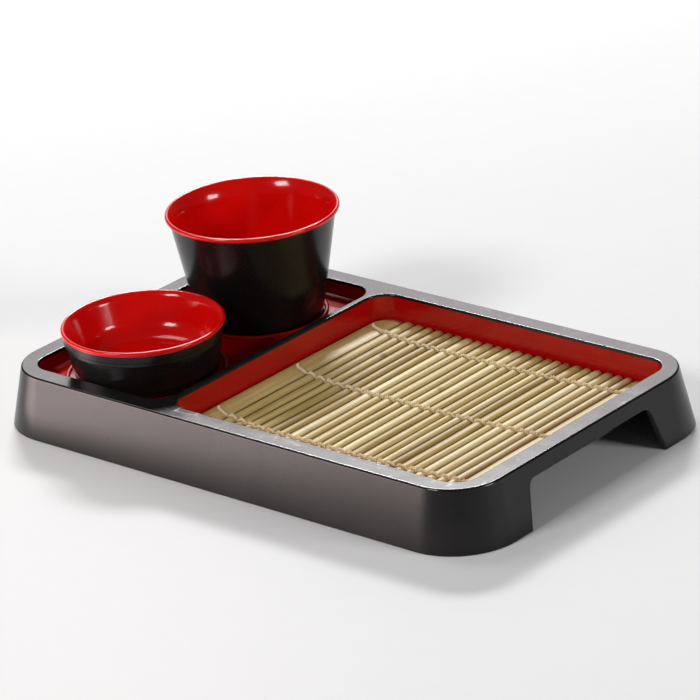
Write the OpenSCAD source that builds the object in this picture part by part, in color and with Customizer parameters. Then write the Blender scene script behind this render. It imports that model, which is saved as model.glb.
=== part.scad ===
// Noodle plate: a two-compartment tray with a slatted bamboo mat, a dipping cup and a condiment dish.
// X runs along the tray with the cup and the dish at its low end, Y runs across it and Z is up from the table.
// All sizes are in millimetres.

/* [Tray] */
// Length over the flat rim
tray_length = 306; // [290:1:330]
// Width over the flat rim
tray_width = 190; // [184:1:206]
// Height of the rim above the table
tray_height = 32; // [30:0.5:36]
// How far each outer wall leans out from the rim to the foot
tray_flare = 7; // [4:0.5:9]
// Radius of the outer corners at the rim
tray_corner = 27.5; // [22:0.5:32]
// Width of the flat rim
rim_width = 10.6; // [9:0.2:13]
// Thickness of the outer wall
wall = 2.6; // [2:0.1:3]
// Thickness of the rim's top
rim_thickness = 2.4; // [2:0.1:3]
// Radius of the rim's outer edge
rim_edge = 1.2; // [0.6:0.1:1.8]

/* [Compartments] */
// Length of the small compartment at the rim
small_length = 92.2; // [91:0.2:98]
// Width of the divider's top
divider = 3.8; // [3.4:0.1:6]
// Depth of the small compartment
small_depth = 8.6; // [7:0.2:10]
// Depth of the large compartment
large_depth = 16; // [14:0.5:18]
// Radius of the compartments' corners at the rim
pan_corner = 12.5; // [11:0.5:15]
// Slope of the compartments' walls, in degrees
pan_draft = 6.5; // [4:0.5:7.5]
// Radius where a compartment's wall meets its floor
pan_fillet = 2; // [1:0.1:2.1]
// Radius of the rim's inner edges
pan_edge = 0.8; // [0.4:0.1:1]
// Thickness of the red layer
lining = 1; // [0.7:0.1:1.2]
// Height of the black band above the red layer
black_band = 1.4; // [1.1:0.1:2]
// Thickness of the black wall behind the red layer
pan_wall = 1.8; // [1.4:0.1:2.2]

/* [Hand holds] */
// Height of the hand holds above the table
hold_height = 24; // [20:0.5:25]
// Half of a hand hold's width at the table
hold_half_foot = 54; // [48:0.5:58]
// Half of a hand hold's width at its top
hold_half_top = 48; // [44:0.5:50]
// Radius of a hand hold's upper corners
hold_corner = 6; // [3:0.5:9]

/* [Cup] */
// Height of the cup
cup_height = 60.1; // [50:0.1:70]
// Diameter over the cup's lip
cup_rim_d = 92; // [88:0.5:93]
// Diameter of the cup's wall at its foot
cup_foot_d = 66.4; // [60:0.5:67]
// Thickness of the cup's wall
cup_wall = 2.6; // [2.3:0.1:3]
// Width of the cup's lip
cup_lip_width = 3.9; // [3.5:0.1:4.4]
// Height of the cup's lip
cup_lip_height = 1.8; // [1.4:0.1:2.4]

/* [Dish] */
// Height of the dish
dish_height = 28.3; // [26:0.1:34]
// Diameter over the dish's lip
dish_rim_d = 84.8; // [82:0.2:87]
// Diameter of the dish's wall at its foot
dish_foot_d = 74.6; // [70:0.2:76]
// Depth of the dish's bowl
dish_depth = 20.5; // [15:0.5:22]
// Width of the dish's lip
dish_lip_width = 3.1; // [2.8:0.1:3.5]
// Height of the dish's lip
dish_lip_height = 1.9; // [1.4:0.1:2.4]
// Thickness of each of the dish's two layers
dish_wall = 1.2; // [0.9:0.1:1.4]
// How far the lip stands out from the plain band below it
dish_overhang = 0.8; // [0.4:0.1:1]
// Height of the plain band
dish_band_height = 3.4; // [2.4:0.1:4.4]
// Height of each of the two small steps below the band
dish_step_height = 2.2; // [1.6:0.1:2.8]
// Depth of each small step
dish_step_width = 0.5; // [0.3:0.1:0.7]

/* [Seats] */
// Gap between the cup's lip and the dish's lip, seen from above
seat_gap = 0.8; // [0.6:0.1:1.4]
// Gap between the cup's wall at its foot and its seat ring
cup_play = 0.5; // [0.4:0.1:1.2]
// Gap between the dish's seat ring and the rounded foot of the compartment's walls
ring_gap = 0.5; // [0.3:0.1:1]
// Height of the seat rings
ring_height = 1.6; // [1:0.1:1.8]
// Width of the seat rings at the floor
ring_width = 2.4; // [2:0.1:2.6]

/* [Mat] */
// Gap between the slats' ends and the foot of the compartment's walls
mat_end_gap = 0.8; // [0.6:0.1:6]
// Gap between the mat and the divider's foot
mat_gap = 1.1; // [0.6:0.1:2]
// Gap between the mat and the compartment's far end
mat_far_gap = 5.5; // [1:0.1:8]
// Width of the first and last slats
end_slat_width = 13.8; // [11:0.1:14.5]
// Width of the second slat
second_slat_width = 6.8; // [6:0.1:8]
// How much the other slats' widths differ from their mean
slat_spread = 0.9; // [0:0.1:1]
// Thickness of most slats
slat_thick = 2.9; // [2.5:0.1:3.2]
// Rise of most slats' rounded tops
slat_dome = 1.2; // [0.8:0.1:1.4]
// Thickness of the first and last slats
end_slat_thick = 2.4; // [2.1:0.1:2.8]
// Rise of the first and last slats' rounded tops
end_slat_dome = 0.5; // [0.3:0.1:0.7]
// How far the mat's end slats stand back from its middle ones
mat_bow = 2; // [0:0.1:2]
// Diameter of a strand of string
strand_d = 0.76; // [0.6:0.02:0.9]
// Room beside a strand in the gap between two slats
strand_room = 0.12; // [0.1:0.01:0.2]
// Distance from the middle row of string to the outer rows
string_offset = 61.3; // [50:0.1:63]
// How far the rows of string lie in front of the slats' middles
string_shift = 1.2; // [0:0.1:3]
// How far the rows curve back at the mat's first slat
string_rise_first = 6.5; // [0:0.1:8]
// How far the rows curve back at the mat's last slat
string_rise_last = 4.4; // [0:0.1:6]

/* [Hidden] */
slat_count = 25;
rows = ["front", "middle", "back"];
strands = ["a", "b"];
function two_digits(n) = n < 10 ? str("0", n) : str(n);
function slat_name(i) = str("slat_", two_digits(i + 1));
function string_name(r, s) = str("string_", rows[r], "_", strands[s]);
slat_names = [for (i = [0:slat_count - 1]) slat_name(i)];
string_names = [for (r = [0:2]) for (s = [0:1]) string_name(r, s)];
$fn = 96;

function arc(c, r, a0, a1, n = 6) =
    [for (i = [0:n]) c + r * [cos(a0 + (a1 - a0) * i / n), sin(a0 + (a1 - a0) * i / n)]];
function flip(pts) = [for (i = [len(pts) - 1:-1:0]) [-pts[i][0], pts[i][1]]];
function shift(pts, d) = [for (p = pts) [p[0] + d, p[1]]];

function snap(pts) = [for (p = pts) [round(1000 * p[0]) / 1000, round(1000 * p[1]) / 1000]];

// A block whose upright edges are rounded: the profile runs from its corners' centres outwards.
// Its points are kept to a thousandth, so that the straight walls and the round corners meet exactly.
module block(length, width, corner, profile) {
    inner_x = length / 2 - corner;
    inner_y = width / 2 - corner;
    line = snap(profile);
    across = shift(line, inner_y);
    along = shift(line, inner_x);
    rotate([90, 0, 90])
        linear_extrude(2 * inner_x, center = true)
            polygon(concat(across, flip(across)));
    rotate([90, 0, 0])
        linear_extrude(2 * inner_y, center = true)
            polygon(concat(along, flip(along)));
    for (x = [-inner_x, inner_x])
        for (y = [-inner_y, inner_y])
            translate([x, y, 0])
                rotate_extrude()
                    polygon(line);
}

// Outer shape of the tray, with a rounded rim edge.
lean = atan(tray_flare / tray_height);
rim_arc_x = tray_corner - rim_edge * (1 - sin(lean)) / cos(lean);
outer_profile = concat([[0, 0], [tray_corner + tray_flare, 0]],
    arc([rim_arc_x, tray_height - rim_edge], rim_edge, lean, 90), [[0, tray_height]]);
function outer_x(z) = tray_corner + tray_flare * (1 - z / tray_height);
cavity_top = tray_height - rim_thickness;
cavity_profile = [[0, -1], [outer_x(-1) - wall / cos(lean), -1],
    [outer_x(cavity_top) - wall / cos(lean), cavity_top], [0, cavity_top]];

// Compartments: the visible hollow, the pocket that the red layer fills, and the black wall behind it.
t = tan(pan_draft);
function pan_x(z) = pan_corner - (tray_height - z) * t;
function fillet_x(floor_z) = pan_x(floor_z + pan_fillet) - pan_fillet / cos(pan_draft);
function floor_arc(floor_z, grow) =
    arc([fillet_x(floor_z), floor_z + pan_fillet], pan_fillet + grow, -90, -pan_draft);
pan_edge_x = pan_corner + pan_edge * (1 - sin(pan_draft)) / cos(pan_draft);
function hollow_profile(floor_z) = concat([[0, floor_z]], floor_arc(floor_z, 0),
    arc([pan_edge_x, tray_height - pan_edge], pan_edge, 180 - pan_draft, 90),
    [[pan_edge_x, tray_height + 1], [0, tray_height + 1]]);
function layer_profile(floor_z, grow, top_z) = concat([[0, floor_z - grow]], floor_arc(floor_z, grow),
    [[pan_x(top_z) + grow / cos(pan_draft), top_z], [0, top_z]]);
small_floor = tray_height - small_depth;
large_floor = tray_height - large_depth;
red_top = tray_height - black_band;
pan_width = tray_width - 2 * rim_width;
small_left = -tray_length / 2 + rim_width;
large_left = small_left + small_length + divider;
large_right = tray_length / 2 - rim_width;
large_length = large_right - large_left;
small_x = small_left + small_length / 2;
large_x = (large_left + large_right) / 2;
module small_pan(profile) {
    translate([small_x, 0, 0])
        block(small_length, pan_width, pan_corner, profile);
}
module large_pan(profile) {
    translate([large_x, 0, 0])
        block(large_length, pan_width, pan_corner, profile);
}

// Hand hold through the skirt at each end, between the corner legs.
hold_lean = atan((hold_half_foot - hold_half_top) / hold_height);
hold_arc_y = hold_half_top + hold_corner * tan(hold_lean) - hold_corner / cos(hold_lean);
hold_side = concat([[hold_half_foot + tan(hold_lean), -1]],
    arc([hold_arc_y, hold_height - hold_corner], hold_corner, hold_lean, 90));
hold_start = tray_length / 2 - rim_width + (lining + pan_wall) / cos(pan_draft) + 0.4;
module hand_hold() {
    translate([hold_start, 0, 0])
        rotate([90, 0, 90])
            linear_extrude(tray_length)
                polygon(concat(hold_side, flip(hold_side)));
}

module tray_body() {
    color([0.03, 0.03, 0.03])
        difference() {
            union() {
                difference() {
                    block(tray_length, tray_width, tray_corner, outer_profile);
                    block(tray_length, tray_width, tray_corner, cavity_profile);
                }
                small_pan(layer_profile(small_floor, lining + pan_wall, tray_height - rim_thickness / 2));
                large_pan(layer_profile(large_floor, lining + pan_wall, tray_height - rim_thickness / 2));
            }
            small_pan(hollow_profile(small_floor));
            large_pan(hollow_profile(large_floor));
            small_pan(layer_profile(small_floor, lining, red_top));
            large_pan(layer_profile(large_floor, lining, red_top));
            hand_hold();
            mirror([1, 0, 0])
                hand_hold();
        }
}

module lining_large() {
    color([0.55, 0.02, 0.02])
        difference() {
            large_pan(layer_profile(large_floor, lining, red_top));
            large_pan(hollow_profile(large_floor));
        }
}

// Seat ring: a rounded bead on the small compartment's floor, stopped by the compartment's walls.
seat_offset = (cup_rim_d + dish_rim_d) / 4 + seat_gap / 2;
cup_ring = cup_foot_d / 2 + cup_play + ring_width / 2;
dish_ring = small_length / 2 - small_depth * t - pan_fillet - ring_gap - ring_width / 2;
bead_r = (ring_width * ring_width / 4 + ring_height * ring_height) / (2 * ring_height);
module seat_ring(radius, y) {
    translate([small_x, y, small_floor])
        rotate_extrude()
            translate([radius, ring_height - bead_r])
                circle(bead_r);
}
module lining_small() {
    color([0.55, 0.02, 0.02])
        union() {
            difference() {
                small_pan(layer_profile(small_floor, lining, red_top));
                small_pan(hollow_profile(small_floor));
            }
            intersection() {
                union() {
                    seat_ring(cup_ring, seat_offset);
                    seat_ring(dish_ring, -seat_offset);
                }
                small_pan(layer_profile(small_floor, lining / 2, red_top));
            }
        }
}

// Lip: a small round at the inside, a soft fall to the outer edge and a round below it.
lip_round = 0.5;
function lip(in_x, out_x, top_z, height, slope) =
    let (fall = 0.55 * height,
        half = out_x - in_x - lip_round,
        under = height - fall)
    concat(arc([in_x + lip_round, top_z - lip_round], lip_round, 180 - slope, 105, 4),
        [for (i = [0:10]) [in_x + lip_round + half * sin(9 * i), top_z - fall * (1 - cos(9 * i))]],
        arc([out_x - under, top_z - fall], under, -15, -80, 5));

// Cup: a leaning wall in two layers under its lip, on a recessed foot.
cup_z = cup_height - lip_round;
cup_layer = cup_wall / 2;
cup_in_top = cup_rim_d / 2 - cup_lip_width;
cup_k0 = (cup_in_top - cup_foot_d / 2 + cup_wall) / cup_z;
cup_sec = sqrt(1 + cup_k0 * cup_k0);
cup_k = (cup_in_top - cup_foot_d / 2 + cup_wall * cup_sec) / cup_z;
cup_slope = atan(cup_k);
function cup_x(z, out) = cup_in_top - cup_k * (cup_z - z) + out / cos(cup_slope);
cup_floor = 5;
cup_round = 6;
cup_round_x = cup_x(cup_floor + cup_round, -cup_round);
cup_part = cup_height - cup_lip_height - 0.3;
cup_foot_round = 4;
cup_foot_x = cup_x(cup_foot_round, cup_wall - cup_foot_round);
cup_inside = concat([[0, cup_floor]],
    arc([cup_round_x, cup_floor + cup_round], cup_round, -90, -cup_slope, 8));
cup_between = concat([[0, cup_floor - cup_layer]],
    arc([cup_round_x, cup_floor + cup_round], cup_round + cup_layer, -90, -cup_slope, 8),
    [[cup_x(cup_part, cup_layer), cup_part]]);
cup_outside = concat(
    [[0, 1.4], [cup_foot_x - 3.6, 1.4], [cup_foot_x - 2.6, 0]],
    arc([cup_foot_x, cup_foot_round], cup_foot_round, -90, -cup_slope, 8),
    [[cup_x(cup_part, cup_wall), cup_part]]);
function back(pts) = [for (i = [len(pts) - 1:-1:0]) pts[i]];
module at_cup() {
    translate([small_x, seat_offset, small_floor])
        children();
}
module cup_shell() {
    color([0.03, 0.03, 0.03])
        at_cup()
            rotate_extrude()
                polygon(concat(cup_outside, back(cup_between)));
}
module cup_lining() {
    color([0.7, 0.02, 0.02])
        at_cup()
            rotate_extrude()
                polygon(concat(cup_inside,
                    lip(cup_in_top, cup_rim_d / 2, cup_height, cup_lip_height, cup_slope),
                    [[cup_x(cup_part, cup_wall), cup_part]], back(cup_between)));
}

// Dish: a round bowl in two layers, with a plain band and two small steps below its lip, on a hollow foot.
bowl_steps = 14;
bowl_angle = 80;
function bowl_x(i, top_x) = top_x * sin(bowl_angle * i / bowl_steps) / sin(bowl_angle);
function bowl_z(x, top_x, rise) =
    rise * (1 - cos(asin(min(1, x / top_x) * sin(bowl_angle)))) / (1 - cos(bowl_angle));
dish_z = dish_height - lip_round;
dish_in = dish_rim_d / 2 - dish_lip_width;
dish_bottom = dish_height - dish_depth;
dish_inside = [for (i = [0:bowl_steps])
    let (x = bowl_x(i, dish_in))
    [x, dish_bottom + bowl_z(x, dish_in, dish_z - dish_bottom)]];
dish_part = dish_height - dish_lip_height - 0.3;
dish_mid = dish_in + dish_wall;
dish_mid_bottom = dish_bottom - dish_wall;
dish_between = [for (i = [0:bowl_steps])
    let (x = bowl_x(i, dish_mid))
    [x, dish_mid_bottom + bowl_z(x, dish_mid, dish_part - dish_mid_bottom)]];
dish_foot = dish_foot_d / 2;
dish_foot_round = 3;
dish_under_x = dish_foot - 3 * dish_wall;
dish_under = [for (i = [0:bowl_steps])
    let (x = bowl_x(i, dish_under_x))
    [x, dish_mid_bottom - dish_wall + bowl_z(x, dish_mid, dish_part - dish_mid_bottom)]];
dish_band = dish_rim_d / 2 - dish_overhang;
dish_step = dish_part - dish_band_height;
dish_step_low = dish_step - dish_step_height;
dish_outside = concat(dish_under, [[dish_under_x + 0.4, 0]],
    arc([dish_foot - dish_foot_round, dish_foot_round], dish_foot_round, -90, -10),
    [[dish_band - 2 * dish_step_width, dish_step_low - dish_step_width],
    [dish_band - dish_step_width, dish_step_low], [dish_band - dish_step_width, dish_step - dish_step_width],
    [dish_band, dish_step], [dish_band, dish_part]]);
module at_dish() {
    translate([small_x, -seat_offset, small_floor])
        children();
}
module dish_shell() {
    color([0.03, 0.03, 0.03])
        at_dish()
            rotate_extrude()
                polygon(concat(dish_outside, back(dish_between)));
}
module dish_lining() {
    color([0.7, 0.02, 0.02])
        at_dish()
            rotate_extrude()
                polygon(concat(dish_inside, lip(dish_in, dish_rim_d / 2, dish_height, dish_lip_height, 20),
                    [[dish_band, dish_part]], back(dish_between)));
}

// Mat: slats with flat undersides and rounded tops, side by side along X.
strand_r = strand_d / 2;
play = 0.08;
slat_z = large_floor + strand_d + 2 * play;
slat_gap = strand_d + 2 * strand_room;
slat_length = pan_width - 2 * (large_depth * t + mat_end_gap + mat_bow);
mat_length = large_length - 2 * large_depth * t - mat_gap - mat_far_gap;
slats_left = mat_length - 2 * end_slat_width - second_slat_width - (slat_count - 1) * slat_gap;
slat_width = slats_left / (slat_count - 3);
function wave(i) = sin(35 * i * i + 338 * i + 300);
waves = [for (i = [2:slat_count - 2]) wave(i)];
wave_mean = waves * [for (w = waves) 1] / len(waves);
function is_end(i) = i == 0 || i == slat_count - 1;
function slat_w(i) = is_end(i) ? end_slat_width : i == 1 ? second_slat_width
    : slat_width + slat_spread * (wave(i) - wave_mean);
function slat_t(i) = is_end(i) ? end_slat_thick : slat_thick;
function slat_rise(i) = is_end(i) ? end_slat_dome : slat_dome;
mat_left = large_left + large_depth * t + mat_gap;
function slat_left(i) = i == 0 ? mat_left : slat_left(i - 1) + slat_w(i - 1) + slat_gap;
slat_x = [for (i = [0:slat_count - 1]) slat_left(i) + slat_w(i) / 2];
mat_x = (slat_x[0] + slat_x[slat_count - 1]) / 2;
mat_half = (slat_x[slat_count - 1] - slat_x[0]) / 2;
function bow(x) = mat_bow * pow((x - mat_x) / mat_half, 2);
function dome_r(i) = (slat_w(i) * slat_w(i) / 4 + slat_rise(i) * slat_rise(i)) / (2 * slat_rise(i));
module slat_strip(i) {
    translate([slat_x[i], bow(slat_x[i]), slat_z])
        rotate([90, 0, 0])
            linear_extrude(slat_length, center = true)
                intersection() {
                    translate([-slat_w(i) / 2, 0])
                        square([slat_w(i), slat_t(i)]);
                    translate([0, slat_t(i) - dome_r(i)])
                        circle(dome_r(i));
                }
}

// The first and last slats are cut round at the compartment's corners.
mat_corner = pan_corner - large_depth * t - mat_end_gap + 0.1;
module slat(i) {
    color(i % 3 == 0 ? [0.84, 0.74, 0.52] : i % 3 == 1 ? [0.78, 0.68, 0.45] : [0.88, 0.79, 0.6])
        if (is_end(i))
            intersection() {
                slat_strip(i);
                large_pan([[0, large_floor], [mat_corner, large_floor], [mat_corner, tray_height],
                    [0, tray_height]]);
            }
        else
            slat_strip(i);
}

// String: two strands a row, each going over one slat and under the next, and changing sides in every gap.
strand_lift = 40;
side = strand_r + play;
function gap_x(i) = slat_left(i) - slat_gap / 2;
function over_q(i) = min((dome_r(i) + side) * tan(strand_lift / 2), slat_w(i) / 2 - 0.3);
function over_z(i) = slat_z + slat_t(i) + side;
under_z = slat_z - side;
function gap_z(i) = over_z(i) - (slat_w(i) / 2 + slat_gap / 2 - over_q(i)) * tan(strand_lift);
function is_over(i, s) = (i + s) % 2 == 0;
function over(i) = concat(
    i == 0 ? [] : [[gap_x(i), side, gap_z(i)]],
    [[slat_x[i] - (i == 0 ? 0 : over_q(i)), i == 0 ? 0 : side / 2, over_z(i)]],
    [[slat_x[i] + (i == slat_count - 1 ? 0 : over_q(i)), i == slat_count - 1 ? 0 : -side / 2, over_z(i)]],
    i == slat_count - 1 ? [] : [[gap_x(i + 1), -side, gap_z(i)]]);
function under(i) = [
    i == 0 ? [slat_x[0], 0, under_z] : [gap_x(i), -side, under_z],
    i == slat_count - 1 ? [slat_x[i], 0, under_z] : [gap_x(i + 1), side, under_z]];
function route(s) = [for (i = [0:slat_count - 1]) each is_over(i, s) ? over(i) : under(i)];
function unit(v) = v / norm(v);
function step_dir(pts, i) = unit([pts[i + 1][0] - pts[i][0], 0, pts[i + 1][2] - pts[i][2]]);
function mitre(pts, i) =
    let (last = len(pts) - 1,
        d0 = step_dir(pts, i == 0 ? 0 : i - 1),
        d1 = step_dir(pts, i == last ? last - 1 : i),
        m = unit([-d0[2] - d1[2], 0, d0[0] + d1[0]]))
    m / (m * [-d0[2], 0, d0[0]]);
strand_sides = 6;
function ring(pts, i) =
    [for (k = [0:strand_sides - 1])
        pts[i] + strand_r * (cos(360 * k / strand_sides) * [0, 1, 0]
            + sin(360 * k / strand_sides) * mitre(pts, i))];
function string_y(x) =
    let (along = (x - mat_x) / mat_half)
    string_rise_first * pow(max(0, -0.55 - along) / 0.45, 1.6)
    + string_rise_last * pow(max(0, along - 0.17) / 0.83, 1.5) - string_shift;
module strand(row, s) {
    pts = route(s);
    rings = len(pts);
    n = strand_sides;
    points = [for (i = [0:rings - 1]) each ring(pts, i)];
    bent = [for (p = points) p + [0, string_y(p[0]) + (row - 1) * string_offset, 0]];
    sides = [for (i = [0:rings - 2]) for (k = [0:n - 1])
        let (a = i * n + k, b = i * n + (k + 1) % n)
        each [[a, a + n, b], [b, a + n, b + n]]];
    caps = [for (k = [1:n - 2])
        each [[0, k, k + 1], [rings * n - n, rings * n - n + k + 1, rings * n - n + k]]];
    color([0.9, 0.83, 0.66])
        polyhedron(bent, concat(sides, caps));
}

tray_body();
lining_large();
lining_small();
cup_shell();
cup_lining();
dish_shell();
dish_lining();
for (i = [0:slat_count - 1])
    slat(i);
for (r = [0:2])
    for (s = [0:1])
        strand(r, s);
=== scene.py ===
"""Noodle plate: a two-compartment tray with a slatted bamboo mat, a dipping cup and a condiment dish."""

import math
import random

import bmesh
import bpy
from mathutils import Matrix, Vector


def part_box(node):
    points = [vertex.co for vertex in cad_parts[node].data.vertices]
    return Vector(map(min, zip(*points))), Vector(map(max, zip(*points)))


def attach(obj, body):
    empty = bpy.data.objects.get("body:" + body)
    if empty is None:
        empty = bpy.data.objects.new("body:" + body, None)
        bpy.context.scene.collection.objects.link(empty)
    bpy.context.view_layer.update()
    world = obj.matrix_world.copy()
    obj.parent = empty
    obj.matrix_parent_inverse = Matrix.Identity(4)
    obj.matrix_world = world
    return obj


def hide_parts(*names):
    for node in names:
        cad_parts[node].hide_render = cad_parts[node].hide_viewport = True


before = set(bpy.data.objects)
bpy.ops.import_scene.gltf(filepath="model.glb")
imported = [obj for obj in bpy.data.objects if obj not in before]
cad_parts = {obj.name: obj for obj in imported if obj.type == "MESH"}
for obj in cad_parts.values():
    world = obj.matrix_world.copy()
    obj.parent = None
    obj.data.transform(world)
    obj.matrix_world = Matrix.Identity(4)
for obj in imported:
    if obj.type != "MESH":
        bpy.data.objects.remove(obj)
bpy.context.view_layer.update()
MM = 0.001


# Viewpoint: a long lens at the height of somebody standing at the table, turned a little.
# It looks across the front right corner of the tray.
view_turn, view_rise, view_roll = map(math.radians, (41.64, 22.95, -4.55))
view_target = Vector((-31.36, 39.66, 18.0)) * MM
view_distance = 2211.2 * MM
back = Vector((math.sin(view_turn) * math.cos(view_rise),
               -math.cos(view_turn) * math.cos(view_rise), math.sin(view_rise)))
right = Vector((0, 0, 1)).cross(back).normalized()
up = back.cross(right)
right, up = (math.cos(view_roll) * right + math.sin(view_roll) * up,
             math.cos(view_roll) * up - math.sin(view_roll) * right)
camera = bpy.data.objects.new("camera", bpy.data.cameras.new("camera"))
camera.data.sensor_width = 36
camera.data.lens = 219.17
camera.data.clip_end = 50
camera.matrix_world = Matrix((right, up, back)).transposed().to_4x4()
camera.location = view_target + back * view_distance
bpy.context.scene.collection.objects.link(camera)
bpy.context.scene.camera = camera


# Tray body: rim, leaning skirt, corner legs, both pans and the divider in one moulding.
# Black gloss plastic with a satin skirt, the first shot of a two-colour moulding, open underneath.
# A hand hold is cut through the skirt at each end, and the tray stands on the skirt's lower edge.
rim_z = 32.0
tray_inner = (125.5, 67.5)
tray_reach = 27.5
tray_flare = 7.0
rim_edge = 1.2
skirt = 2.6
cavity_z = 29.6
pan_reach = 12.5
pan_edge = 0.8
pan_fillet = 2.0
pan_lean = math.radians(6.5)
red_z = 30.6
lining = 1.0
pan_shell = 2.8
shell_top = rim_z - 1.2
small_pan = (-96.3, 33.6, 71.9, 23.4)
large_pan = (48.0, 81.9, 71.9, 16.0)
corner_turns = 20


def arc(x, z, radius, start, stop, steps):
    """Points of an arc in a section, from one angle to another in degrees."""
    return [(x + radius * math.cos(math.radians(start + (stop - start) * k / steps)),
             z + radius * math.sin(math.radians(start + (stop - start) * k / steps)))
            for k in range(steps + 1)]


def corner_ring(centre_x, inner_x, inner_y, reach, z):
    """Points round a rectangle with rounded corners, whose corner centres stay put as its reach changes."""
    points = []
    for side_x, side_y, start in ((1, 1, 0), (-1, 1, 90), (-1, -1, 180), (1, -1, 270)):
        for k in range(corner_turns + 1):
            turn = math.radians(start + 90 * k / corner_turns)
            points.append((centre_x + side_x * inner_x + reach * math.cos(turn),
                           side_y * inner_y + reach * math.sin(turn), z))
    return points


def new_piece(name, points, faces):
    """An object from points in millimetres, with its faces turned outwards."""
    mesh = bpy.data.meshes.new(name)
    mesh.from_pydata([Vector(p) * MM for p in points], [], faces)
    shape = bmesh.new()
    shape.from_mesh(mesh)
    bmesh.ops.recalc_face_normals(shape, faces=shape.faces)
    shape.to_mesh(mesh)
    shape.free()
    piece = bpy.data.objects.new(name, mesh)
    bpy.context.scene.collection.objects.link(piece)
    return piece


def moulded_block(name, centre_x, inner_x, inner_y, section):
    """A closed solid whose section runs all round a rounded rectangle, capped flat at both ends."""
    points, faces = [], []
    for reach, z in section:
        points += corner_ring(centre_x, inner_x, inner_y, reach, z)
    count = 4 * (corner_turns + 1)
    for row in range(len(section) - 1):
        for k in range(count):
            a, b = row * count + k, row * count + (k + 1) % count
            faces.append((a, b, b + count, a + count))
    faces.append(tuple(range(count)))
    faces.append(tuple(range(len(points) - count, len(points))))
    return new_piece(name, points, faces)


def carve(piece, tool, operation):
    """Joins, cuts or keeps what is shared with another closed solid, which is used up."""
    step = piece.modifiers.new("carve", "BOOLEAN")
    step.operation, step.solver, step.object = operation, "EXACT", tool
    bpy.context.view_layer.update()
    shaped = bpy.data.meshes.new_from_object(piece.evaluated_get(bpy.context.evaluated_depsgraph_get()))
    piece.modifiers.clear()
    piece.data = shaped
    bpy.data.objects.remove(tool)
    return piece


def soften(piece, sharp_angle=32):
    """Smooth shading that stays flat on flat faces and crisp on edges sharper than the angle."""
    shape = bmesh.new()
    shape.from_mesh(piece.data)
    bmesh.ops.remove_doubles(shape, verts=shape.verts, dist=2e-6)
    bmesh.ops.dissolve_degenerate(shape, edges=shape.edges, dist=1e-6)
    for face in shape.faces:
        face.smooth = True
    for edge in shape.edges:
        edge.smooth = len(edge.link_faces) != 2 or edge.calc_face_angle(0) < math.radians(sharp_angle)
    shape.to_mesh(piece.data)
    shape.free()
    even = piece.modifiers.new("even_normals", "WEIGHTED_NORMAL")
    even.keep_sharp, even.weight = True, 100


def wall_reach(z):
    return tray_reach + tray_flare * (1 - z / rim_z)


def pan_wall(z):
    return pan_reach - (rim_z - z) * math.tan(pan_lean)


def floor_round(floor_z, grow):
    """The rounded foot of a compartment's wall, or of the layers behind it."""
    middle = pan_wall(floor_z + pan_fillet) - pan_fillet / math.cos(pan_lean)
    return arc(middle, floor_z + pan_fillet, pan_fillet + grow, -90, -math.degrees(pan_lean), 8)


def hollow(floor_z):
    """Section of the visible hollow, with the rim's rounded inner edge."""
    edge_x = pan_reach + pan_edge * (1 - math.sin(pan_lean)) / math.cos(pan_lean)
    return (floor_round(floor_z, 0)
            + arc(edge_x, rim_z - pan_edge, pan_edge, 180 - math.degrees(pan_lean), 90, 8)
            + [(edge_x, rim_z + 1)])


def layer(floor_z, grow, top_z):
    """Section of the pocket behind the red layer, or of the black wall behind that."""
    return floor_round(floor_z, grow) + [(pan_wall(top_z) + grow / math.cos(pan_lean), top_z)]


class Value:
    """A socket of a material's nodes: sums and products of it add Math nodes."""

    def __init__(self, tree, socket=None):
        self.tree, self.socket = tree, socket

    def add(self, kind, settings=None, inputs=None, out=0):
        """Any node: its type, its settings, and the numbers or links of its sockets."""
        node = self.tree.nodes.new("ShaderNode" + kind)
        for name, setting in (settings or {}).items():
            if name == "stops":
                stops = node.color_ramp.elements
                while len(stops) < len(setting):
                    stops.new(0.5)
                for stop, (place, colour) in zip(stops, setting):
                    stop.position, stop.color = place, (*colour, 1)
            else:
                setattr(node, name, setting)
        for name, given in (inputs or {}).items():
            if isinstance(given, Value):
                self.tree.links.new(given.socket, node.inputs[name])
            else:
                node.inputs[name].default_value = given
        return Value(self.tree, node.outputs[out] if node.outputs else None)

    def maths(self, operation, *terms):
        return self.add("Math", {"operation": operation}, dict(enumerate(terms)))

    def __add__(self, other):
        return self.maths("ADD", self, other)

    def __sub__(self, other):
        return self.maths("SUBTRACT", self, other)

    def __rsub__(self, other):
        return self.maths("SUBTRACT", other, self)

    def __mul__(self, other):
        return self.maths("MULTIPLY", self, other)

    __radd__, __rmul__ = __add__, __mul__

    def between(self, low, high):
        """0 below low, 1 above high, and a soft step in between."""
        return self.add("MapRange", {"interpolation_type": "SMOOTHSTEP"},
                        {"Value": self, "From Min": low, "From Max": high})

    def stretched(self, x, y, z):
        return self.add("VectorMath", {"operation": "MULTIPLY"}, {0: self, 1: (x, y, z)})

    def noise(self, scale, detail=2.0, roughness=0.5):
        return self.add("TexNoise", {}, {"Vector": self, "Scale": scale,
                                         "Detail": detail, "Roughness": roughness})

    def blend(self, first, second):
        """Mixes two colours by this value."""
        return self.add("Mix", {"data_type": "RGBA"}, {0: self, 6: first, 7: second}, 2)


def new_finish(name, build):
    """A material from a function that gives its surface from a start and a place on the object."""
    finish = bpy.data.materials.new(name)
    finish.use_nodes = True
    finish.node_tree.nodes.clear()
    start = Value(finish.node_tree)
    start.add("OutputMaterial", {}, {"Surface": build(start, start.add("TexCoord", out="Object"))})
    return finish


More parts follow.
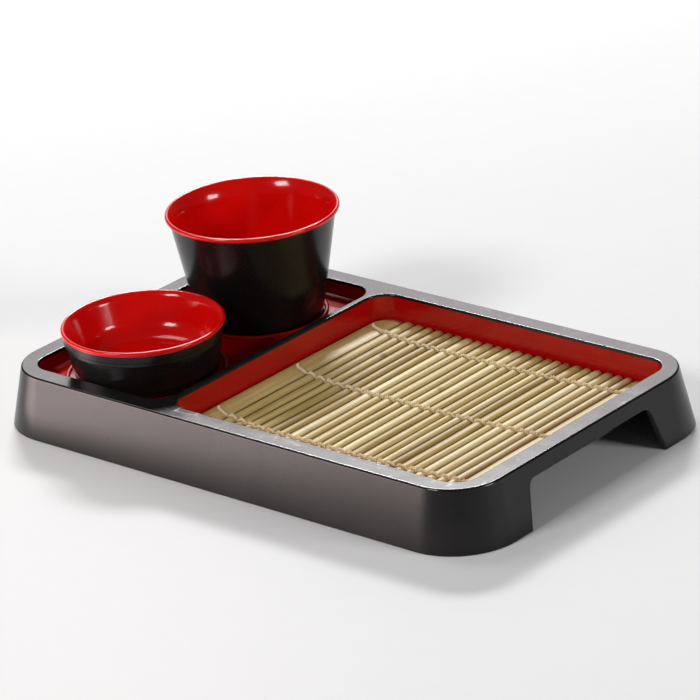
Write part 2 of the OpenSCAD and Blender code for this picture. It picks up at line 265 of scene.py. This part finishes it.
def hairlines(place, scale, width):
    """Fine rubbed lines: where a stretched noise crosses its middle value, broken up into short runs."""
    line = place.noise(scale, 1.0) - 0.5
    away = line.maths("ABSOLUTE", line)
    return (1 - away.between(0.0, width)) * place.noise(scale * 0.6, 0.0).between(0.52, 0.62)


def gloss_plastic(dark, light, roughness, shine=1.47, rub=0.10):
    """Moulded gloss plastic: a faint flow mottle, a fine orange peel and rubbed hairlines."""
    def build(start, place):
        mottle = place.noise(38, 3.0).between(0.3, 0.7)
        rubbed = hairlines(place.stretched(1.0, 0.12, 1.0), 300, 0.012) \
            + hairlines(place.stretched(0.12, 1.0, 1.0), 340, 0.012)
        peel = place.noise(900, 1.0)
        bump = start.add("Bump", {}, {"Strength": 0.10, "Distance": 0.0001, "Height": peel})
        return start.add("BsdfPrincipled", {}, {
            "Base Color": mottle.blend((*dark, 1), (*light, 1)),
            "Roughness": roughness + 0.04 * place.noise(90, 2.0) + rub * rubbed,
            "IOR": shine, "Normal": bump})
    return build


blacks = (0.0085, 0.0075, 0.0075), (0.0120, 0.0108, 0.0105)
black_gloss = new_finish("black_gloss_plastic", gloss_plastic(*blacks, 0.13))
black_satin = new_finish("black_satin_plastic", gloss_plastic(*blacks, 0.22, 1.36, 0.03))


def fit(piece, finish, body, slot, *nodes):
    """Finishes a piece and sets it on the CAD body it moves with, in place of its CAD nodes."""
    piece.data.materials.clear()
    piece.data.materials.append(finish)
    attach(piece, body)
    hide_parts(*nodes)
    return piece


lean = math.degrees(math.atan(tray_flare / rim_z))
foot_round, hand_hold_end = 0.7, 200
skirt_across = skirt / math.cos(math.radians(lean))
edge_middle = tray_reach - rim_edge * (1 - math.sin(math.radians(lean))) / math.cos(math.radians(lean))
tray = moulded_block("tray_moulding", 0, *tray_inner,
                     [(wall_reach(0) - foot_round, 0)]
                     + arc(wall_reach(foot_round) - foot_round, foot_round, foot_round, -70, lean, 4)
                     + arc(edge_middle, rim_z - rim_edge, rim_edge, lean, 90, 10))
inside = moulded_block("tray_inside", 0, *tray_inner,
                       [(wall_reach(-1) - skirt_across + 0.5, -1), (wall_reach(0) - skirt_across + 0.4, 0),
                        (wall_reach(0) - skirt_across + 0.12, 0.15), (wall_reach(0.5) - skirt_across, 0.5),
                        (wall_reach(cavity_z) - skirt_across, cavity_z)])
carve(tray, inside, "DIFFERENCE")
for centre_x, inner_x, inner_y, floor_z in (small_pan, large_pan):
    shell = moulded_block("pan_shell", centre_x, inner_x, inner_y, layer(floor_z, pan_shell, shell_top))
    carve(tray, shell, "UNION")
for centre_x, inner_x, inner_y, floor_z in (small_pan, large_pan):
    for section in (hollow(floor_z), layer(floor_z, lining, red_z)):
        carve(tray, moulded_block("pan_space", centre_x, inner_x, inner_y, section), "DIFFERENCE")

hold_z, hold_foot, hold_top, hold_corner, hold_x, hold_edge = 24.0, 54.0, 48.0, 6.0, 145.624, 0.9
hold_lean = math.atan((hold_foot - hold_top) / hold_z)
hold_y = hold_top + hold_corner * math.tan(hold_lean) - hold_corner / math.cos(hold_lean)


def hold_line(grow):
    """Outline of a hand hold, as (across, height) points, grown all round."""
    side = [(hold_foot + math.tan(hold_lean) + grow / math.cos(hold_lean), -1)] \
        + arc(hold_y, hold_z - hold_corner, hold_corner + grow, math.degrees(hold_lean), 90, 10)
    return side + [(-y, z) for y, z in reversed(side)]


for end in (-1, 1):
    points, count = [(end * hold_x, y, z) for y, z in hold_line(0)], len(hold_line(0))
    for grow, depth in arc(hold_edge, hold_edge, hold_edge, 180, 270, 5):
        points += [(end * (tray_inner[0] + wall_reach(z) - depth), y, z) for y, z in hold_line(grow)]
    points += [(end * hand_hold_end, y, z) for y, z in hold_line(hold_edge)]
    faces = [(row + k, row + (k + 1) % count, row + (k + 1) % count + count, row + k + count)
             for row in range(0, len(points) - count, count) for k in range(count)]
    ends = [tuple(range(count)), tuple(range(len(points) - count, len(points)))]
    carve(tray, new_piece("hand_hold", points, faces + ends), "DIFFERENCE")
soften(tray)
fit(tray, black_gloss, "tray", "black_plastic", "tray_body")
tray.data.materials.append(black_satin)
skin = 0.3
for face in tray.data.polygons:
    x, y, z = face.center / MM
    reach = math.hypot(max(abs(x) - tray_inner[0], 0), max(abs(y) - tray_inner[1], 0))
    face.material_index = int(z < rim_z - rim_edge and reach > wall_reach(z) - skin)


# Red layer of the large compartment: the second shot, moulded over the black pan.
# Red gloss plastic, a millimetre thick, up to a black band below the rim.
red_gloss = new_finish("red_gloss_plastic",
                       gloss_plastic((0.42, 0.0028, 0.0018), (0.48, 0.0036, 0.0022), 0.12, 1.39))


def red_layer(name, centre_x, inner_x, inner_y, floor_z):
    """A compartment's red layer: its floor and walls as one closed skin."""
    inner = floor_round(floor_z, 0) + [(pan_wall(red_z), red_z)]
    outer = layer(floor_z, lining, red_z)
    return moulded_block(name, centre_x, inner_x, inner_y, inner + outer[::-1])


large_red = red_layer("large_red_layer", *large_pan)
soften(large_red)
fit(large_red, red_gloss, "tray", "red_plastic", "lining_large")


# Red layer of the small compartment: red gloss plastic of the second shot.
# Two raised seat rings on its floor keep the cup and the dish in place.
seat_y = 44.6
cup_ring, dish_ring, ring_rise, ring_tube = 34.9, 41.42, 1.6, 1.25


def lathe(name, section, centre, turns=144, closed=True):
    """A turned solid: a section of (radius, height) points round an upright axis."""
    points, faces, rows = [], [], []
    for radius, z in section:
        if radius < 1e-6:
            rows.append([len(points)] * turns)
            points.append((centre[0], centre[1], centre[2] + z))
        else:
            rows.append(list(range(len(points), len(points) + turns)))
            points += [(centre[0] + radius * math.cos(math.tau * k / turns),
                        centre[1] + radius * math.sin(math.tau * k / turns), centre[2] + z)
                       for k in range(turns)]
    pairs = list(zip(rows, rows[1:])) + ([(rows[-1], rows[0])] if closed else [])
    for low, high in pairs:
        for k in range(turns):
            corners = (low[k], low[(k + 1) % turns], high[(k + 1) % turns], high[k])
            face = tuple(dict.fromkeys(corners))
            if len(face) > 2:
                faces.append(face)
    return new_piece(name, points, faces)


small_red = red_layer("small_red_layer", *small_pan)
for ring_reach, ring_y in ((cup_ring, seat_y), (dish_ring, -seat_y)):
    bead = lathe("seat_ring", arc(ring_reach, ring_rise - ring_tube, ring_tube, 0, 330, 11),
                 (small_pan[0], ring_y, small_pan[3]), 160)
    room = moulded_block("pan_room", *small_pan[:3], layer(small_pan[3], lining / 2, red_z))
    carve(bead, room, "INTERSECT")
    carve(small_red, bead, "UNION")
soften(small_red)
fit(small_red, red_gloss, "tray", "red_plastic", "lining_small")


# Dipping cup: a black gloss wall on a recessed foot, moulded with a red inside.
# The red turns out to a rounded lip that stands over the wall; the cup stands loose in its seat ring.
cup_height, cup_rim, cup_foot, cup_wall, cup_lip_width, cup_lip_height = 60.1, 46.0, 33.2, 2.6, 4.4, 2.4
lip_round = 1.1
cup_z = cup_height - lip_round
cup_top = cup_rim - cup_lip_width
cup_secant = math.sqrt(1 + ((cup_top - cup_foot + cup_wall) / cup_z) ** 2)
cup_slant = (cup_top - cup_foot + cup_wall * cup_secant) / cup_z
cup_lean, cup_flare = math.degrees(math.atan(cup_slant)), 38
cup_floor, cup_round, cup_foot_round, cup_middle = 5.0, 6.0, 4.0, cup_wall / 2
foot_recess, foot_ring = 1.4, 2.6
lip_seat = 0.3
cup_part = cup_height - cup_lip_height - lip_seat


def cup_x(z, out):
    """Distance of the cup's inside from its axis, or of a layer behind it."""
    return cup_top - cup_slant * (cup_z - z) + out / math.cos(math.radians(cup_lean))


def lip(wall, lean, flare, outer, top, height):
    """Section of a lip: the inside turns out from its leaning wall in an arc and over a round edge."""
    edge_x, edge_z = outer - lip_round, top - lip_round
    turn, tilt = math.radians(flare), math.radians(lean)
    end_x, end_z = edge_x - lip_round * math.cos(turn), edge_z + lip_round * math.sin(turn)
    radius = (end_x - wall(end_z, 0)) * math.cos(tilt) / (1 - math.cos(turn - tilt))
    under = 0.45 * height
    return (arc(end_x + radius * math.cos(turn), end_z - radius * math.sin(turn), radius,
                180 - lean, 180 - flare, 16)
            + arc(edge_x, edge_z, lip_round, 180 - flare, 0, 12)[1:]
            + arc(outer - under, top - height + under, under, 0, -80, 6)[1:])


cup_place = (small_pan[0], seat_y, small_pan[3])
cup_round_x = cup_x(cup_floor + cup_round, -cup_round)
cup_foot_x = cup_x(cup_foot_round, cup_wall - cup_foot_round)
cup_inside = [(0, cup_floor)] + arc(cup_round_x, cup_floor + cup_round, cup_round, -90, -cup_lean, 14)
cup_between = [(0, cup_floor - cup_middle)] \
    + arc(cup_round_x, cup_floor + cup_round, cup_round + cup_middle, -90, -cup_lean, 14) \
    + [(cup_x(cup_part, 0.8 * cup_wall), cup_part)]
cup_outside = [(0, foot_recess), (cup_foot_x - foot_ring - 1, foot_recess), (cup_foot_x - foot_ring, 0)] \
    + arc(cup_foot_x, cup_foot_round, cup_foot_round, -90, -cup_lean, 12) \
    + [(cup_x(cup_part, cup_wall), cup_part)]
cup_over = lip(cup_x, cup_lean, cup_flare, cup_rim, cup_height, cup_lip_height) \
    + [(cup_x(cup_part, cup_wall), cup_part)]
cup_black = lathe("cup_wall", cup_outside + cup_between[::-1], cup_place, closed=False)
soften(cup_black, 40)
deep_black = new_finish("deep_black_plastic",
                        gloss_plastic((0.0060, 0.0054, 0.0054), (0.0085, 0.0078, 0.0076), 0.19, 1.32))
fit(cup_black, deep_black, "cup", "black_plastic", "cup_shell")
cup_red = lathe("cup_red_inside", cup_inside + cup_over + cup_between[::-1], cup_place, closed=False)
soften(cup_red, 40)
bright_red = new_finish("bright_red_plastic",
                        gloss_plastic((0.66, 0.0028, 0.0020), (0.75, 0.0038, 0.0026), 0.10, 1.4))
fit(cup_red, bright_red, "cup", "red_plastic", "cup_lining")


# Condiment dish: a black gloss wall with a plain band and two fine steps under the lip, on a hollow foot.
# A steep red bowl is moulded into it and turns out to the rim; it stands loose in its seat ring.
dish_height, dish_rim, dish_foot, dish_depth = 28.3, 42.4, 37.3, 22.0
dish_lip_width, dish_lip_height, dish_wall, dish_overhang = 3.1, 2.3, 1.2, 0.8
dish_band_height, dish_step_height, dish_step_width, dish_round = 3.4, 2.2, 0.5, 3.0
dish_lean, dish_flare, bowl_round = 18, 50, 12.0
dish_z = dish_height - lip_round
dish_in = dish_rim - dish_lip_width
dish_bottom = dish_height - dish_depth
dish_part = dish_height - dish_lip_height - lip_seat
dish_band, dish_step = dish_rim - dish_overhang, dish_part - dish_band_height
dish_step_low = dish_step - dish_step_height


def dish_x(z, out):
    """Distance of the bowl's inside from its axis, or of a layer behind it."""
    return (dish_in - math.tan(math.radians(dish_lean)) * (dish_z - z)
            + out / math.cos(math.radians(dish_lean)))


dish_place = (small_pan[0], -seat_y, small_pan[3])
dish_under, dish_under_z = dish_foot - 3 * dish_wall, dish_bottom - 2 * dish_wall
under_top, under_foot = dish_under - 0.5, dish_under + 0.4
bowl_x, bowl_z = dish_x(dish_bottom + bowl_round, -bowl_round), dish_bottom + bowl_round
dish_inside = [(0, dish_bottom)] + arc(bowl_x, bowl_z, bowl_round, -90, -dish_lean, 14)
dish_between = [(0, dish_bottom - dish_wall)] \
    + arc(bowl_x, bowl_z, bowl_round + dish_wall, -90, -dish_lean, 14) \
    + [(dish_x(dish_part, dish_wall), dish_part)]
dish_outside = [(0, dish_under_z), (under_top, dish_under_z), (under_foot, 0)] \
    + arc(dish_foot - dish_round, dish_round, dish_round, -90, -10, 10) \
    + [(dish_band - 2 * dish_step_width, dish_step_low - dish_step_width),
       (dish_band - dish_step_width, dish_step_low),
       (dish_band - dish_step_width, dish_step - dish_step_width), (dish_band, dish_step), (dish_band, dish_part)]
dish_over = lip(dish_x, dish_lean, dish_flare, dish_rim, dish_height, dish_lip_height) \
    + [(dish_band, dish_part)]
dish_black = lathe("dish_wall", dish_outside + dish_between[::-1], dish_place, closed=False)
soften(dish_black, 25)
fit(dish_black, deep_black, "dish", "black_plastic", "dish_shell")
dish_red = lathe("dish_red_bowl", dish_inside + dish_over + dish_between[::-1], dish_place, closed=False)
soften(dish_red, 40)
fit(dish_red, bright_red, "dish", "red_plastic", "dish_lining")


# Bamboo slats: 25 split strips side by side, flat below and rounded above, the outer two wider and thinner.
# Each is planed from the cane's wall, so it keeps its fibres' streaks, its own tone and here and there a joint.
# The tone of the first seven slats is also painted darker, as a painted shadow of the cup.
# The outer two are cut round at their ends to clear the corners of the compartment.
slat_count = 25
slat_gap, mat_bow, mat_corner = 1.0, 2.0, 9.9
slat_thick, slat_rise, outer_thick, outer_rise = 2.9, 1.2, 2.4, 0.5
mat_groups = [[0]] + [[i, i + 1] for i in range(1, 11, 2)] + [[11, 12, 13]] \
    + [[i, i + 1] for i in range(14, 24, 2)] + [[24]]
draw = random.Random(41)
slat_boxes = [[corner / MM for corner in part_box(f"slat_{i + 1:02d}")] for i in range(slat_count)]
slat_x = [(low.x + high.x) / 2 for low, high in slat_boxes]
slat_z = slat_boxes[0][0].z
slat_length = slat_boxes[1][1].y - slat_boxes[1][0].y
mat_middle, mat_half = (slat_x[0] + slat_x[-1]) / 2, (slat_x[-1] - slat_x[0]) / 2


def slat_body(i):
    """The CAD body a slat moves with: the mat bends in every second gap."""
    group = next(g for g in mat_groups if i in g)
    names = "_".join(f"{k + 1:02d}" for k in group)
    return "mat" if len(group) > 2 else f"slats_{names}" if len(group) > 1 else f"slat_{names}"


def slat_size(i):
    """Width, thickness and rise of the rounded top."""
    low, high = slat_boxes[i]
    outer = i in (0, slat_count - 1)
    thick, rise = (outer_thick, outer_rise) if outer else (slat_thick, slat_rise)
    return high.x - low.x, thick, rise


def bow(x):
    """How far the mat stands back at a place along it."""
    return mat_bow * ((x - mat_middle) / mat_half) ** 2


def dome(i, x):
    """Height of a slat's rounded top at a distance from its middle line."""
    width, thick, rise = slat_size(i)
    radius = (width * width / 4 + rise * rise) / (2 * rise)
    return thick - radius + math.sqrt(max(radius * radius - x * x, 0.0))


def split_bamboo(start, place):
    """Straw-coloured bamboo: fibres along the slat, flecks and joints, with painted shade darkening the flanks
    towards the gaps.
    """
    # The tone attribute carries each slat's own tone and, on the first seven slats, a painted shadow of the cup.
    tone = start.add("Attribute", {"attribute_name": "tone"}, out="Fac")
    joint = start.add("Attribute", {"attribute_name": "joint"}, out="Fac")
    flank = start.add("Attribute", {"attribute_name": "flank"}, out="Fac")
    along = place.stretched(1.0, 0.028, 1.0)
    fibres = along.noise(1500, 4.0, 0.62)
    streaks = along.noise(420, 3.0, 0.55)
    patches = place.stretched(1.0, 0.16, 1.0).noise(130, 3.0)
    fleck = place.stretched(1.0, 0.22, 1.0).noise(1700, 1.0).between(0.66, 0.74)
    shade = 0.80 * tone + 0.62 * streaks + 0.40 * patches + 0.30 * fibres - 0.56
    colour = shade.add("ValToRGB", {"stops": (
        (0.0, (0.24, 0.145, 0.036)), (0.28, (0.44, 0.30, 0.088)), (0.55, (0.62, 0.462, 0.178)),
        (0.8, (0.73, 0.585, 0.28)), (1.0, (0.82, 0.72, 0.44)))}, {"Fac": shade})
    colour = (0.45 * fleck).blend(colour, (0.24, 0.16, 0.06, 1))
    colour = (0.75 * joint).blend(colour, (0.21, 0.14, 0.05, 1))
    # Painted shade: a slat's sides and the edges of its rounded top are darkened towards the gaps, where shade
    # falls between the slats.
    colour = (0.55 * flank).blend(colour, (0.27, 0.185, 0.075, 1))
    bump = start.add("Bump", {}, {"Strength": 0.55, "Distance": 0.00012, "Height": fibres + 0.8 * streaks})
    return start.add("BsdfPrincipled", {}, {
        "Base Color": colour, "Roughness": 0.36 + 0.24 * fibres, "IOR": 1.45, "Normal": bump})


bamboo = new_finish("split_bamboo", split_bamboo)


def slat_section(i, grow_thick):
    """Outline of a slat across its length, anticlockwise, with how much painted shade each point gets towards the
    gaps.
    """
    width, thick, rise = slat_size(i)
    half, shoulder = width / 2, thick - rise
    side = [(half - 0.3, 0, 1), (half - 0.08, 0.1, 1), (half, 0.35, 1),
            (half, shoulder - 0.45, 0.9), (half - 0.06, shoulder - 0.12, 0.75)]
    top, steps, edge, sink, painted_shade_from, painted_shade_rate = [], 10, 0.26, 0.04, 0.80, 2.2
    for k in range(steps + 1):
        x = (half - edge) * (1 - 2 * k / steps)
        top.append((x, dome(i, x) - sink + grow_thick, max(0.0, abs(x) / half - painted_shade_from) * painted_shade_rate))
    other = [(-x, z, flank) for x, z, flank in side]
    return other[:1] + side + top + other[:0:-1]


def slat_ends(i, x):
    """Front and back end of a slat at a place along the mat: the outer two follow the pan's round corners."""
    middle = bow(slat_x[i])
    front, back_end = middle - slat_length / 2, middle + slat_length / 2
    past = abs(x - large_pan[0]) - large_pan[1]
    if past > 0:
        reach = large_pan[2] + math.sqrt(max(mat_corner ** 2 - past ** 2, 0.0))
        front, back_end = max(front, -reach), min(back_end, reach)
    return front, back_end


def make_slat(i):
    """A slat that wanders and swells a little along its length, with rounded ends."""
    stations, end_round, end_pull, end_narrow, end_drop = 44, 0.4, 0.22, 0.12, 0.6
    drift_wide, drift_fine, swell_depth = 0.10, 0.05, 0.07
    joint_share, joint_limit, joint_reach, joint_rise = 0.4, 70, 1.1, 0.12
    wander, swell, tilt = draw.uniform(0, math.tau), draw.uniform(0, math.tau), draw.uniform(-0.02, 0.02)
    # Each slat's own tone varies at random. The factor that darkens the first seven slats is a painted shadow of
    # the cup.
    tone = draw.uniform(0.15, 1.0) * min(1.0, 0.55 + 0.07 * i)
    joint_y = draw.uniform(-joint_limit, joint_limit) if draw.random() < joint_share else None
    points, faces, tone_and_shadow_values, painted_flank_shades, joints = [], [], [], [], []
    for j in range(stations + 1):
        share = j / stations
        y = (share - 0.5) * slat_length
        drift = drift_wide * math.sin(2.1 * math.pi * share + wander) \
            + drift_fine * math.sin(6.3 * math.pi * share + 2 * wander)
        thick = swell_depth * math.sin(3.1 * math.pi * share + swell)
        ring = 0.0 if joint_y is None else math.exp(-((y - joint_y) / joint_reach) ** 2)
        ends = min(share, 1 - share) * slat_length
        pull = end_pull * max(0.0, 1 - ends / end_round)
        outline = slat_section(i, thick + joint_rise * ring)
        for x, z, flank in outline:
            front, back_end = slat_ends(i, slat_x[i] + x)
            points.append((slat_x[i] + x * (1 - pull * end_narrow) + drift, front + share * (back_end - front),
                           slat_z + z + (tilt * x - end_drop * pull if z > 0.5 else 0)))
            tone_and_shadow_values.append(tone)
            painted_flank_shades.append(min(1.0, flank))
            joints.append(ring)
    count = len(outline)
    for j in range(stations):
        for k in range(count):
            a, b = j * count + k, j * count + (k + 1) % count
            faces.append((a, b, b + count, a + count))
    faces += [tuple(range(count)), tuple(range(stations * count, (stations + 1) * count))]
    slat = new_piece(f"bamboo_{i + 1:02d}", points, faces)
    for name, values in (("tone", tone_and_shadow_values), ("flank", painted_flank_shades), ("joint", joints)):
        slat.data.attributes.new(name, "FLOAT", "POINT").data.foreach_set("value", values)
    return slat


for i in range(slat_count):
    slat = make_slat(i)
    for face in slat.data.polygons:
        face.use_smooth = len(face.vertices) == 4
    fit(slat, bamboo, slat_body(i), "bamboo", f"slat_{i + 1:02d}")


# Twine: three rows of two cotton strands, each strand two plies laid round each other.
# A strand goes over one slat and under the next, and the two change sides in every gap.
# It is parted in the gaps where the mat bends, so that each length moves with its slats.
cross_z = slat_z + 1.9
row_offset, row_shift = 61.3, 1.2
row_rise_first, row_from_first, row_run_first, row_power_first = 6.5, 0.55, 0.45, 1.6
row_rise_last, row_from_last, row_run_last, row_power_last = 4.4, 0.17, 0.83, 1.5
yarn_reach, ply_reach, lay_length = 0.38, 0.46, 3.2
strand_side, strand_rest, strand_below = 0.42, 0.62, 0.44
strand_inset, strand_full_in, strand_full_out, strand_full_below = 0.9, 0.72, 0.74, 0.52
strand_tail, strand_first, strand_last = ((3.2, 2.0, 0.1), (2.6, 1.0, 0.0)), -1.5, 2.0


def cotton_twine(start, place):
    """Unbleached cotton with a matt fuzz."""
    fuzz = place.noise(2600, 3.0, 0.7)
    fibres = place.noise(900, 4.0, 0.65)
    shade = 0.6 * fibres + 0.4 * fuzz
    colour = shade.add("ValToRGB", {"stops": (
        (0.25, (0.58, 0.43, 0.22)), (0.45, (0.84, 0.69, 0.43)), (0.7, (0.93, 0.83, 0.60)))}, {"Fac": shade})
    bump = start.add("Bump", {}, {"Strength": 0.6, "Distance": 0.00015, "Height": fuzz})
    return start.add("BsdfPrincipled", {}, {
        "Base Color": colour, "Roughness": 0.78 + 0.15 * fuzz, "Sheen Weight": 0.25, "Normal": bump})


cotton = new_finish("cotton_twine", cotton_twine)


def smooth_path(knots, spacing):
    """Points close together on a smooth curve through the knots; each knot carries its yarn's fullness."""
    knots = [2 * knots[0] - knots[1]] + knots + [2 * knots[-1] - knots[-2]]
    path = []
    for a, b, c, d in zip(knots, knots[1:], knots[2:], knots[3:]):
        steps = max(2, int((c - b).xyz.length / spacing))
        for k in range(steps):
            t = k / steps
            path.append(0.5 * (2 * b + t * (c - a) + t * t * (2 * a - 5 * b + 4 * c - d)
                               + t ** 3 * (3 * b - a - 3 * c + d)))
    return path + [knots[-2]]


def yarn(path, turn, points, faces):
    """Two plies wound round a path, added to the points and faces; gives the turn they end with."""
    sides, travel = 8, 0.0
    rows = {0: [], 1: []}
    for n, here in enumerate(path):
        ahead = (path[min(n + 1, len(path) - 1)] - path[max(n - 1, 0)]).xyz.normalized()
        across = Vector((0, 1, 0)) - ahead * ahead.y
        across.normalize()
        over = ahead.cross(across)
        if n:
            travel += (here - path[n - 1]).xyz.length
        for ply in (0, 1):
            angle = turn + math.tau * travel / lay_length + math.pi * ply
            middle = here.xyz + here.w * yarn_reach * (math.cos(angle) * across + math.sin(angle) * over)
            rows[ply].append(len(points))
            for s in range(sides):
                a = math.tau * s / sides
                points.append(middle + here.w * ply_reach * (math.cos(a) * across + math.sin(a) * over))
    for starts in rows.values():
        for low, high in zip(starts, starts[1:]):
            for s in range(sides):
                t = (s + 1) % sides
                faces.append((low + s, low + t, high + t, high + s))
        faces.append(tuple(range(starts[0], starts[0] + sides)))
        faces.append(tuple(range(starts[-1], starts[-1] + sides)))
    return turn + math.tau * travel / lay_length


def gap_x(i):
    """Middle of the gap before a slat."""
    return slat_x[i] - slat_size(i)[0] / 2 - slat_gap / 2


def row_bend(x):
    """How far the rows of twine lie back from their straight line at a place along the mat."""
    along = (x - mat_middle) / mat_half
    return (row_rise_first * (max(0.0, -row_from_first - along) / row_run_first) ** row_power_first
            + row_rise_last * (max(0.0, along - row_from_last) / row_run_last) ** row_power_last - row_shift)


def knot(x, y, z, full=1.0):
    """A point of a strand's path, with the row's bend, and how full the yarn is there."""
    return Vector((x, y + row_bend(x), z, full))


def twine_over(i, y):
    """A strand on top of a slat, from the gap before it to the gap behind it."""
    width, thick, _ = slat_size(i)
    inner = width / 2 - strand_inset
    first, last = -inner, inner
    if i == 0:
        first = strand_first
        knots = [knot(slat_x[i] - before, y + aside, slat_z + thick + strand_rest - sunk)
                 for before, aside, sunk in strand_tail]
    else:
        knots = [knot(gap_x(i), y + strand_side, cross_z, strand_full_in)]
    if i == slat_count - 1:
        last = strand_last
    for k in range(5):
        x = first + (last - first) * k / 4
        knots.append(knot(slat_x[i] + x, y + strand_side * (0.9 - 1.8 * k / 4),
                          slat_z + dome(i, x) + strand_rest))
    if i < slat_count - 1:
        knots.append(knot(gap_x(i + 1), y - strand_side, cross_z, strand_full_out))
    return knots


def twine_rise(i, y, side):
    """A strand's way through the gap on one side of a slat: slim and close to the slat where the mat bends."""
    bends = slat_body(i) != slat_body(i + side)
    low_in, low_full, high_in, high_full = (
        (0.24, 0.36, 0.18, 0.40) if bends else (0.1, 0.55, 0.0, strand_full_out))
    x = gap_x(i) if side < 0 else gap_x(i + 1)
    y += side * strand_side
    return [knot(x - side * low_in, y, slat_z + 0.4, low_full), knot(x - side * high_in, y, cross_z, high_full)]


def twine_under(i, y):
    """A strand below a slat: down through the gap before it, along its flat side and up through the next."""
    low, edge = slat_z - strand_below, slat_size(i)[0] / 2 - 0.3
    knots = [] if i == 0 else twine_rise(i, y, -1)[::-1]
    for k in range(4):
        x = edge * (2 * k / 3 - 1)
        knots.append(knot(slat_x[i] + x, y + strand_side * (1.4 * k / 3 - 0.7), low, strand_full_below))
    return knots + (twine_rise(i, y, 1) if i < slat_count - 1 else [])


string_nodes = [f"string_{row}_{strand}" for row in ("front", "middle", "back") for strand in "ab"]
turns = {}
for number, group in enumerate(mat_groups):
    points, faces = [], []
    for row in (-1, 0, 1):
        for strand in (0, 1):
            knots = []
            for i in group:
                lies = (twine_over, twine_under)[(i + strand) % 2](i, row * row_offset)
                knots += lies[1:] if knots else lies
            turn = turns.get((row, strand), draw.uniform(0, math.tau))
            turns[row, strand] = yarn(smooth_path(knots, 0.3), turn, points, faces)
    twine = new_piece(f"twine_{number + 1:02d}", points, faces)
    for face in twine.data.polygons:
        face.use_smooth = True
    fit(twine, cotton, slat_body(group[0]), "cotton_string", *string_nodes)


# Table and studio: a plain pale table top under soft lights.
# Two stand behind the tray on the left and one each on the left, the right and in front.
# A low strip beside the front wall is mirrored in it.
def pale_top(start, place):
    """A matt white with a hardly visible grain."""
    grain = place.noise(60, 3.0)
    return start.add("BsdfPrincipled", {}, {
        "Base Color": grain.blend((0.93, 0.93, 0.93, 1), (0.95, 0.95, 0.95, 1)), "Roughness": 0.9,
        "Specular IOR Level": 0.1})


table_half = 6
table_mesh = bpy.data.meshes.new("table")
table_mesh.from_pydata([(x * table_half, y * table_half, 0) for x, y in ((-1, -1), (1, -1), (1, 1), (-1, 1))],
                       [], [(0, 1, 2, 3)])
table = bpy.data.objects.new("table", table_mesh)
table.data.materials.append(new_finish("pale_table", pale_top))
bpy.context.scene.collection.objects.link(table)


def softbox(name, place, aim, size, power, colour=(1, 1, 1), spread=180):
    """A rectangular soft light in metres and watts, which the camera doesn't see."""
    lamp = bpy.data.lights.new(name, "AREA")
    lamp.spread = math.radians(spread)
    lamp.shape, lamp.size, lamp.size_y = "RECTANGLE", *size
    lamp.energy, lamp.color = power, colour
    holder = bpy.data.objects.new(name, lamp)
    holder.location = place
    holder.rotation_euler = (Vector(aim) - Vector(place)).to_track_quat("-Z", "Y").to_euler()
    holder.visible_camera = False
    bpy.context.scene.collection.objects.link(holder)


softbox("light_behind", (-1.66, 1.87, 1.13), (0, 0, 0.02), (1.7, 0.8), 9, (1.0, 0.93, 0.95))
softbox("light_key", (-1.63, 1.84, 1.72), (0, 0, 0.02), (0.75, 0.32), 56)
softbox("light_left", (-1.1, 0.25, 1.67), (0, 0, 0.02), (0.5, 0.7), 5)
softbox("light_right", (1.75, 0.40, 0.62), (0.05, 0, 0.02), (0.5, 0.35), 11)
softbox("light_front", (-0.35, -1.98, 1.48), (0, 0, 0.03), (0.7, 0.55), 25)
softbox("light_low", (-0.094, -0.243, 0.031), (0.653, 0.421, 0.031), (0.55, 0.06), 0.115,
        (1.0, 0.82, 0.80), 60)
world = bpy.data.worlds.new("studio")
world.use_nodes = True
sky = world.node_tree.nodes["Background"]
sky.inputs["Color"].default_value = (1, 1, 1, 1)
sky.inputs["Strength"].default_value = 0.08
bpy.context.scene.world = world
bpy.context.scene.view_settings.view_transform = "Standard"
